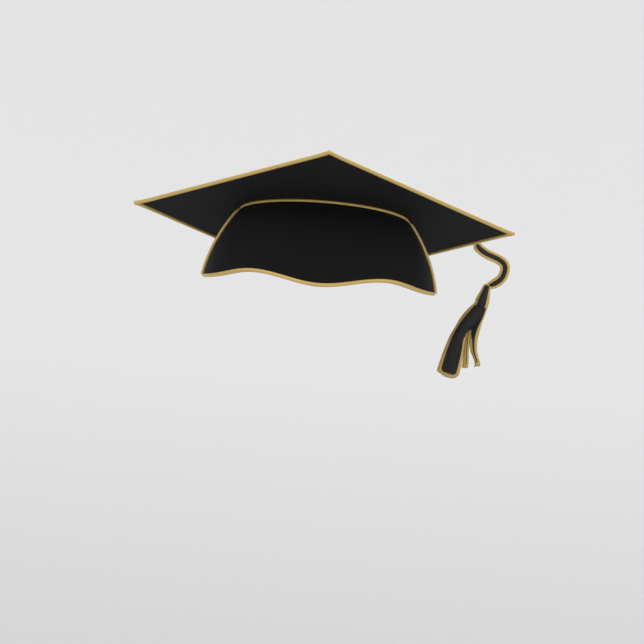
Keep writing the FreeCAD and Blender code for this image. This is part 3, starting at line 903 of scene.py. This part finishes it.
ELASTIC_START, ELASTIC_END = math.radians(180 + 56), math.radians(360 - 56)
points, faces = wall_cloth(
    ELASTIC_START, ELASTIC_END, 3.2 * MM, -11.4 * MM, 2.6 * MM, 3.3 * MM, 190, 10, 0.0, 11.0
)
half = len(points) // 2
for i in range(half, len(points)):
    inward = Vector((-points[i].x, -points[i].y, 0)).normalized()
    around = math.atan2(points[i].y, points[i].x) * SKULL_RADIUS
    points[i] = points[i] + inward * 0.18 * MM * (1 + math.sin(TURN * around / (2.2 * MM)))
piece("gathered_elastic", points, faces, [ribbed], "cap", ["back_elastic"])
print("sweatband and elastic made")

# %% [markdown]
# ## The button
# The button is a dome of the board's cloth, gathered underneath, so faint folds run from the
# rim towards the middle, with a small dimple where it was pressed on.

# %% Cover the button
BUTTON_RADIUS = 10.5 * MM
BUTTON_FOOT = HALF_BOARD + 4.0 * MM
DOME_HEIGHT = 6.8 * MM
INNER_SHARE = 0.93
BUTTON_STEPS, BUTTON_SIDES = 24, 96
outer_rings, inner_rings = [], []
for i in range(BUTTON_STEPS + 1):
    climb = math.radians(90) * (i / BUTTON_STEPS) ** 0.9 * 0.985
    outer_ring, inner_ring = [], []
    for j in range(BUTTON_SIDES):
        angle = TURN * j / BUTTON_SIDES
        fold = 0.16 * MM * math.cos(angle * 16 + 0.6 * math.sin(angle * 3)) * math.cos(climb) ** 1.5
        dimple = 0.5 * MM * math.exp(-((math.cos(climb) / 0.22) ** 2))
        reach = (BUTTON_RADIUS - 0.1 * MM + fold) * math.cos(climb)
        rise = DOME_HEIGHT * math.sin(climb) - dimple
        outer_ring.append(board @ spoke(reach, angle, BUTTON_FOOT + rise))
        inner_rise = max(0.0, rise * INNER_SHARE - 0.1 * MM)
        inner_ring.append(board @ spoke(reach * INNER_SHARE, angle, BUTTON_FOOT + inner_rise))
    outer_rings.append(outer_ring)
    inner_rings.append(inner_ring)
points, faces = cloth(outer_rings, inner_rings, closed=True)
piece("button_cloth", points, faces, [board_cloth], "cap", ["button_shell"])
print("button covered")

# %% [markdown]
# ## The tassel's cord
# The cord lies in a long easy curve over the board, drops past the far right edge, bulges
# outward and comes back under its own weight to the tassel. It is a flat cord of three: a round
# black braid between two twisted gold strands. Its line is a smooth spline through a listed
# route, and the side that the gold strands lie on turns from level, on the board, to upright
# past the edge.

# %% The cord's line
CORD_HEIGHT = HALF_BOARD + 2.4 * MM
ON_BOARD = [(23.0, 0), (46, -0.8), (75, 4), (105, 15), (130, 29.7)]
PAST_EDGE = [
    (-17.0, -11.1, -4.7), (-0.6, -0.1, -9.7), (5.6, 2.9, -14.8),
    (4.8, 3.4, -23.8), (-0.4, 2.6, -31.2), (-10.0, 1.9, -35.7),
]
OVER_EDGE = (134.9, 37.4, 4.6)
route = [board @ Vector((x * MM, y * MM, CORD_HEIGHT)) for x, y in ON_BOARD]
route += [board @ (Vector(OVER_EDGE) * MM)]
route += [edge_pivot + Vector(step) * MM for step in PAST_EDGE]

curve = bpy.data.curves.new("cord_route", "CURVE")
curve.dimensions = "3D"
curve.resolution_u = 24
spline = curve.splines.new("NURBS")
spline.points.add(len(route) - 1)
for point, place in zip(spline.points, route):
    point.co = (*place, 1)
spline.order_u = 3
spline.use_endpoint_u = True
holder = bpy.data.objects.new("cord_route", curve)
bpy.context.scene.collection.objects.link(holder)
drawn = bpy.data.meshes.new_from_object(holder)
cord_line = evenly([v.co.copy() for v in drawn.vertices], 0.6 * MM)
bpy.data.objects.remove(holder)
bpy.data.meshes.remove(drawn)
cord_length = distances(cord_line)[-1]
print("cord is", round(cord_length / MM, 1), "mm long")

# %% Braid the cord
BRAID_RADIUS = 2.0 * MM
GOLD_RADIUS = 1.5 * MM
GOLD_OFFSET = 3.1 * MM


TWIST_FROM, TWIST_TO = 132 * MM, 158 * MM
TWISTED_BELOW = -14 * MM


def turned_side(point, along):
    """The way across the flat cord: level on the board, and facing the front past its edge."""
    past = (into_board @ point).xy.length
    share = min(1.0, max(0.0, (past - TWIST_FROM) / (TWIST_TO - TWIST_FROM)))
    if (into_board @ point).z < TWISTED_BELOW:
        share = 1.0
    share = share * share * (3 - 2 * share)
    facing = board_up.lerp(Vector((0, -1, 0)), share)
    return along.cross(facing).normalized()


def cord_strand(offset, section, sides):
    """One strand of the flat cord; section(angle, distance) is its radius."""
    rings = []
    along_line = distances(cord_line)
    for point, along, travelled in zip(cord_line, directions(cord_line), along_line):
        side = turned_side(point, along)
        over = side.cross(along)
        left = along_line[-1] - travelled
        gather = 0.45 + 0.55 * min(1.0, left / (7 * MM))
        gather *= 0.55 + 0.45 * min(1.0, travelled / (6 * MM))
        centre = point + side * offset * gather
        reach = partial(section, travelled=travelled)
        rings.append(ring_about(centre, side, over, sides, reach))
    return tube(rings)


def braid_section(angle, travelled):
    lay = TURN * travelled / (9 * MM)
    crossing = max(math.cos(4 * angle - 2 * lay), math.cos(4 * angle + 2 * lay))
    return BRAID_RADIUS * (0.90 + 0.10 * crossing)


def gold_section(angle, travelled):
    lay = TURN * travelled / (4.2 * MM)
    return GOLD_RADIUS * (0.82 + 0.18 * abs(math.cos(angle - lay)))


strands = [
    cord_strand(0.0, braid_section, 24),
    cord_strand(GOLD_OFFSET, gold_section, 14),
    cord_strand(-GOLD_OFFSET, gold_section, 14),
]
points, faces = join(strands)
marks = [0] * len(strands[0][1]) + [1] * (len(strands[1][1]) + len(strands[2][1]))
tassel_cord = piece(
    "tassel_cord", points, faces, [black_thread, gold_thread], None,
    ["cord_top", "cord_drop"], marks,
)
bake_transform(tassel_cord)
print("cord has", len(faces), "faces")

# %% [markdown]
# ## The loop and its whipping
# The cord ends in a loop round the button's neck. A whipping of gold thread closes it.

# %% Loop and whipping
LOOP_RADIUS, LOOP_NOSE, LOOP_REACH = 6.95 * MM, 1.9 * MM, 14.5 * MM
LOOP_HEIGHT = HALF_BOARD + 1.75 * MM
spread = math.acos((LOOP_RADIUS - LOOP_NOSE) / LOOP_REACH)
loop_line = []
for i in range(49):
    angle = spread + (TURN - 2 * spread) * i / 48
    loop_line.append(board @ spoke(LOOP_RADIUS, angle, LOOP_HEIGHT))
for i in range(13):
    angle = -spread + 2 * spread * i / 12
    loop_line.append(board @ (Vector((LOOP_REACH, 0, 0)) + spoke(LOOP_NOSE, angle, LOOP_HEIGHT)))
points, faces = twisted_cord(loop_line, 1.5 * MM, 3, 4.5 * MM, board_up, 0.5 * MM, True)
loop = piece("tassel_loop_cord", points, faces, [black_thread], "cord", ["tassel_loop"])


def wound(base, axis, across, profile, wrap, depth, sides=40):
    """A piece wound with thread: rings of a profile [(distance, radius)], ridged along the axis."""
    other = axis.cross(across)
    rings = []
    steps = max(2, round((profile[-1][0] - profile[0][0]) / (wrap / 6)))
    for i in range(steps + 1):
        at = profile[0][0] + (profile[-1][0] - profile[0][0]) * i / steps
        radius = smooth_through(profile, at)

        def ridged(angle, at=at, radius=radius):
            ridge = abs(math.sin(math.pi * at / wrap - angle / 2))
            return radius - depth * (1 - ridge**0.6)

        rings.append(ring_about(base + axis * at, across, other, sides, ridged))
    return tube(rings)


def smooth_through(table, at):
    """A smooth curve through (place, value) pairs."""
    if at <= table[0][0]:
        return table[0][1]
    if at >= table[-1][0]:
        return table[-1][1]
    k = max(i for i in range(len(table) - 1) if table[i][0] <= at)
    (x0, y0), (x1, y1) = table[k], table[k + 1]
    span = x1 - x0
    before = table[k - 1] if k else (x0 - span, y0)
    after = table[k + 2] if k + 2 < len(table) else (x1 + span, y1)
    m0 = (y1 - before[1]) / (x1 - before[0]) * span
    m1 = (after[1] - y0) / (after[0] - x0) * span
    t = (at - x0) / span
    return (
        (2 * t**3 - 3 * t**2 + 1) * y0 + (t**3 - 2 * t**2 + t) * m0
        + (-2 * t**3 + 3 * t**2) * y1 + (t**3 - t**2) * m1
    )


board_x = Vector((1, 0, 0))
board_back = board.to_3x3() @ Vector((0, 1, 0))
collar_foot = board @ Vector((13.5 * MM, 0, HALF_BOARD + 2.75 * MM))
points, faces = wound(
    collar_foot, board_x, board_back,
    [(0, 2.1 * MM), (0.8 * MM, 2.55 * MM), (10.2 * MM, 2.55 * MM), (11.0 * MM, 2.1 * MM)],
    0.8 * MM, 0.16 * MM,
)
whipping = piece("loop_whipping", points, faces, [gold_thread], "cord", ["loop_collar"])
print("loop closed")

# %% [markdown]
# ## The knot and the tassel's head
# The knot is a ball wound with gold thread. The tassel's head is a slim bell of threads whose
# top is a round cup, and the knot turns in that cup. A binding ties the head in at its foot.
# The threads at the left and right of the head are gold, so a gold line runs down each side.

# %% Knot and head
lean = Matrix.Rotation(math.radians(13.5), 3, "Y")
tassel_down = lean @ Vector((0, 0, -1))
tassel_right = lean @ Vector((1, 0, 0))
tassel_front = Vector((0, -1, 0))


def in_tassel(down, right, front=0.0):
    return knot_place + tassel_down * down + tassel_right * right + tassel_front * front


def tassel_ring(down, sides, reach):
    """A ring of points round the tassel's middle, some way down from the knot."""
    return ring_about(in_tassel(down, 0), tassel_right, tassel_front, sides, reach)


KNOT_RADIUS = 3.05 * MM
KNOT_STEPS, KNOT_SIDES = 25, 48
ball_rings = []
for i in range(KNOT_STEPS):
    climb = math.pi * (i + 0.5) / KNOT_STEPS
    ring = []
    for j in range(KNOT_SIDES):
        angle = TURN * j / KNOT_SIDES
        wrap = abs(math.sin(3 * angle + 4.5 * math.cos(climb)))
        reach = KNOT_RADIUS - 0.35 * MM * (1 - wrap**0.6)
        ring.append(
            in_tassel(
                -reach * math.cos(climb),
                reach * math.sin(climb) * math.cos(angle),
                reach * math.sin(climb) * math.sin(angle),
            )
        )
    ball_rings.append(ring)
points, faces = tube(ball_rings)
knot = piece("wound_knot", points, faces, [gold_thread], "knot", ["tassel_knot"])

HEAD_TOP, HEAD_FOOT = -1.2 * MM, 16.35 * MM
CUP_RADIUS = 3.35 * MM
HEAD_PROFILE = [
    (HEAD_TOP, 3.55 * MM), (1 * MM, 3.95 * MM), (3 * MM, 4.25 * MM), (5 * MM, 4.65 * MM),
    (7 * MM, 5.15 * MM), (9.9 * MM, 5.8 * MM), (13 * MM, 6.35 * MM), (15.2 * MM, 6.5 * MM),
    (HEAD_FOOT, 6.2 * MM),
]
GOLD_HALF_ANGLE = math.radians(52)
HEAD_SIDES = 192


def side_marks(faces, sides):
    """A mark on each face of a tube that faces the tassel's left or right side."""
    marks = []
    for face in faces:
        angle = TURN * (face[0] % sides + 0.5) / sides
        marks.append(int(len(face) == 4 and abs(math.sin(angle)) < math.sin(GOLD_HALF_ANGLE)))
    return marks


def head_reach(angle, at):
    """The bell's radius at a height, with a groove between each two threads."""
    thread = abs(math.sin(angle * 24 + 0.35 * math.sin(at / MM * 0.5)))
    return smooth_through(HEAD_PROFILE, at) - 0.22 * MM * (1 - thread**0.6)


HEAD_STEPS, CUP_STEPS = 44, 12
head_rings = []
for i in range(HEAD_STEPS + 1):
    at = HEAD_FOOT + (HEAD_TOP - HEAD_FOOT) * i / HEAD_STEPS
    head_rings.append(tassel_ring(at, HEAD_SIDES, partial(head_reach, at=at)))
rim_climb = math.acos(HEAD_TOP / CUP_RADIUS)
for i in range(CUP_STEPS):
    climb = rim_climb * (1 - i / (CUP_STEPS + 0.5))
    reach = CUP_RADIUS * math.sin(climb)
    down = CUP_RADIUS * math.cos(climb)
    head_rings.append(tassel_ring(down, HEAD_SIDES, lambda angle, reach=reach: reach))
points, faces = tube(head_rings)
head = piece(
    "tassel_head_threads", points, faces, [black_thread, gold_thread], "tassel",
    ["tassel_head"], side_marks(faces, HEAD_SIDES),
)
WAIST_SIDES = 60
points, faces = wound(
    in_tassel(16.3 * MM, 0), tassel_down, tassel_right,
    [(0, 6.15 * MM), (0.5 * MM, 6.7 * MM), (2.3 * MM, 6.75 * MM), (2.8 * MM, 6.3 * MM)],
    0.7 * MM, 0.2 * MM, WAIST_SIDES,
)
waist = piece(
    "tassel_waist_binding", points, faces, [black_thread, gold_thread], "tassel",
    ["tassel_binding"], side_marks(faces, WAIST_SIDES),
)
print("head made")

# %% [markdown]
# ## The skirt
# The skirt is several hundred separate threads. Each keeps its place in the bundle's oval from
# the waist to the hem, with a slow wander that it shares with the few threads beside it, and
# ends a little above or below its neighbours. Two thin wisps leave the bundle halfway down.
# The outermost threads at either side and every tip are gold, which draws the tassel's outline.

# %% Spin the threads
random.seed(12)
THREAD_RADIUS = 0.28 * MM
THREAD_SIDES = 5
TIP_LENGTH = 2.8 * MM


def one_thread(line, radius):
    """A thread along a line, thinner at its two ends."""
    rings = []
    for i, (point, along) in enumerate(zip(line, directions(line))):
        side = along.cross(tassel_front).normalized()
        over = side.cross(along)
        thick = radius * (0.55 if i in (0, len(line) - 1) else 1.0)
        rings.append(ring_about(point, side, over, THREAD_SIDES, lambda angle, thick=thick: thick))
    return tube(rings)


def edges_to_table(edges):
    """From (down, left edge, right edge, half depth) in millimetres to three smooth tables."""
    middle = [(d * MM, (a + b) / 2 * MM) for d, a, b, _ in edges]
    half_width = [(d * MM, (b - a) / 2 * MM) for d, a, b, _ in edges]
    half_depth = [(d * MM, f * MM) for d, _, _, f in edges]
    return middle, half_width, half_depth


def thread_bundle(edges, count, hem, is_gold):
    """Threads that fill a bundle's outline, and a mark on each face that is gold."""
    middle, widths, depths = edges_to_table(edges)
    top = middle[0][0]
    outer_count = int(count * 0.7)
    clumps = max(5, outer_count // 9)
    phases = [random.uniform(0, TURN) for _ in range(clumps)]
    parts, marks = [], []
    for n in range(count):
        outer = n < outer_count
        if outer:
            share = n / outer_count
            groove = abs(math.sin(math.pi * share * clumps)) ** 0.5
            reach = random.uniform(0.93, 0.97) + 0.03 * groove
            phase = phases[int(share * clumps)] + random.gauss(0, 0.25)
        else:
            share, reach = random.random(), math.sqrt(random.random()) * 0.88
            phase = random.uniform(0, TURN)
        angle = TURN * share
        u, v = reach * math.cos(angle), reach * math.sin(angle)
        wander = random.uniform(0.16, 0.30) * MM
        bottom = hem(u) * MM + random.gauss(0, 0.45) * MM
        places = [top + (bottom - TIP_LENGTH - top) * k / 18 for k in range(19)]
        places += [bottom - TIP_LENGTH * 0.5, bottom]
        line = []
        for at in places:
            loose = min(1.0, (at - top) / (20 * MM))
            sway = wander * loose * math.sin(phase + at / (11 * MM))
            right = smooth_through(middle, at) + smooth_through(widths, at) * u + sway
            front = smooth_through(depths, at) * v + sway * 0.6 * math.cos(phase)
            line.append(in_tassel(at, right, front))
        made = one_thread(line, THREAD_RADIUS * random.uniform(0.9, 1.12))
        for i in range(len(made[1])):
            step = min(i // THREAD_SIDES, len(places) - 1)
            tip = places[step] >= bottom - TIP_LENGTH * 1.01
            marks.append(int(outer and (tip or is_gold(u, places[step] / MM))))
        parts.append(made)
    points, faces = join(parts)
    return points, faces, marks


SPLIT = 42
MAIN_BUNDLE = [
    (17.6, -6.2, 6.2, 5.8), (20, -7.7, 6.1, 5.9), (26, -10.8, 5.2, 6.2), (34, -13.9, 1.0, 6.4),
    (42, -15.7, -3.6, 6.6), (52, -17.9, -3.9, 7.0), (61, -18.8, -2.0, 7.4), (72, -19.6, -0.3, 7.8),
    (84, -19.6, 1.0, 7.8), (90, -19.4, 1.2, 7.6),
]
INNER_WISP = [
    (18.0, 2.6, 5.4, 2.6), (26, 2.6, 4.8, 2.8), (34, -0.2, 2.6, 2.8), (42, -3.7, -1.0, 2.6),
    (52, -3.5, 0.2, 2.4), (61, -1.6, 2.3, 2.2), (76, 1.4, 6.4, 1.6),
]
OUTER_WISP = [
    (18.0, 3.2, 6.3, 2.6), (26, 3.4, 6.2, 2.8), (34, 1.6, 5.8, 2.8), (42, -0.9, 6.3, 2.8),
    (50, -0.3, 7.2, 2.6), (60, 3.9, 10.4, 2.2), (71, 12.0, 17.0, 1.6),
]


def main_gold(u, down):
    """Gold down the left side, and on the right side below the split, where it starts thin."""
    return u < -0.68 or u > 1.0 - 0.30 * min(1.0, (down - SPLIT) / 12)


for name, edges, count, hem, is_gold, nodes in (
    ("skirt_threads", MAIN_BUNDLE, 560,
     lambda u: 89.6 - (2.6 * u * u if u < 0 else 5.6 * u**3), main_gold,
     ["skirt_main", "gold_strand_left"]),
    ("inner_wisp_threads", INNER_WISP, 64, lambda u: 76.4 - 0.8 * u,
     lambda u, down: down > SPLIT and abs(u) > 0.25, ["wisp_inner"]),
    ("outer_wisp_threads", OUTER_WISP, 84, lambda u: 71.4 - 1.2 * u,
     lambda u, down: u > 0.25 or (down > SPLIT and u < -1.0 + 0.7 * min(1.0, (down - SPLIT) / 9)),
     ["wisp_outer", "gold_strand_right"]),
):
    points, faces, marks = thread_bundle(edges, count, hem, is_gold)
    piece(name, points, faces, [black_thread, gold_thread], "tassel", nodes, marks)
    print(name, len(faces), "faces")

# %% [markdown]
# ## The studio
# The cap is shown as if worn, well above a pale floor that curves up into a pale wall all
# round, so that no horizon shows from any side. Big soft lights keep the black cloth readable
# and the gold even.

# %% Floor, light and air
floor_finish = Finish("studio_floor", **{"Roughness": 0.9, "Specular IOR Level": 0.1})
x, y, z, where = floor_finish.place()
FLOOR_LEVEL = -0.9
SHADE_PER_METRE = 1.2
cloudy = floor_finish.clouds(where, 0.6) * 0.1
floor_finish.colour_between(
    (z - FLOOR_LEVEL) * SHADE_PER_METRE + cloudy, (0.66, 0.66, 0.665), (0.86, 0.86, 0.865)
)
FLOOR_REACH = 8.5
WALL_CURVE = 3.0
BOWL_STEPS, BOWL_SIDES = 64, 96
bowl_rings = []
for i in range(BOWL_STEPS + 1):
    climb = math.radians(100) * i / BOWL_STEPS
    reach = FLOOR_REACH + WALL_CURVE * math.sin(climb) if i else 0.01
    rise = WALL_CURVE * (1 - math.cos(climb))
    bowl_rings.append(
        [spoke(reach, TURN * j / BOWL_SIDES, FLOOR_LEVEL + rise) for j in range(BOWL_SIDES)]
    )
points, faces = tube(bowl_rings)
bowl = piece("studio_bowl", points, faces[:-1], [floor_finish.material], None)

world = bpy.data.worlds.new("studio_air")
bpy.context.scene.world = world
world.use_nodes = True
air = world.node_tree.nodes["Background"].inputs
air["Color"].default_value = (1.0, 1.0, 1.0, 1)
air["Strength"].default_value = 0.98


def soft_light(name, place, size, power):
    """A square area light that faces the cap."""
    light = bpy.data.lights.new(name, "AREA")
    light.shape, light.size, light.energy = "SQUARE", size, power
    made = bpy.data.objects.new(name, light)
    bpy.context.scene.collection.objects.link(made)
    way = board_middle - Vector(place)
    made.matrix_world = Matrix.Translation(place) @ way.to_track_quat("-Z", "Y").to_matrix().to_4x4()
    return made


for name, place, size, power in (
    ("key", (-1.6, -2.2, 1.5), 1.4, 32),
    ("fill", (2.2, -1.8, 0.4), 1.8, 16),
    ("low_fill", (0.2, -2.2, -0.3), 1.4, 5),
    ("back_light", (0.8, 2.2, 1.6), 1.4, 24),
):
    soft_light(name, place, size, power)
print("studio ready")
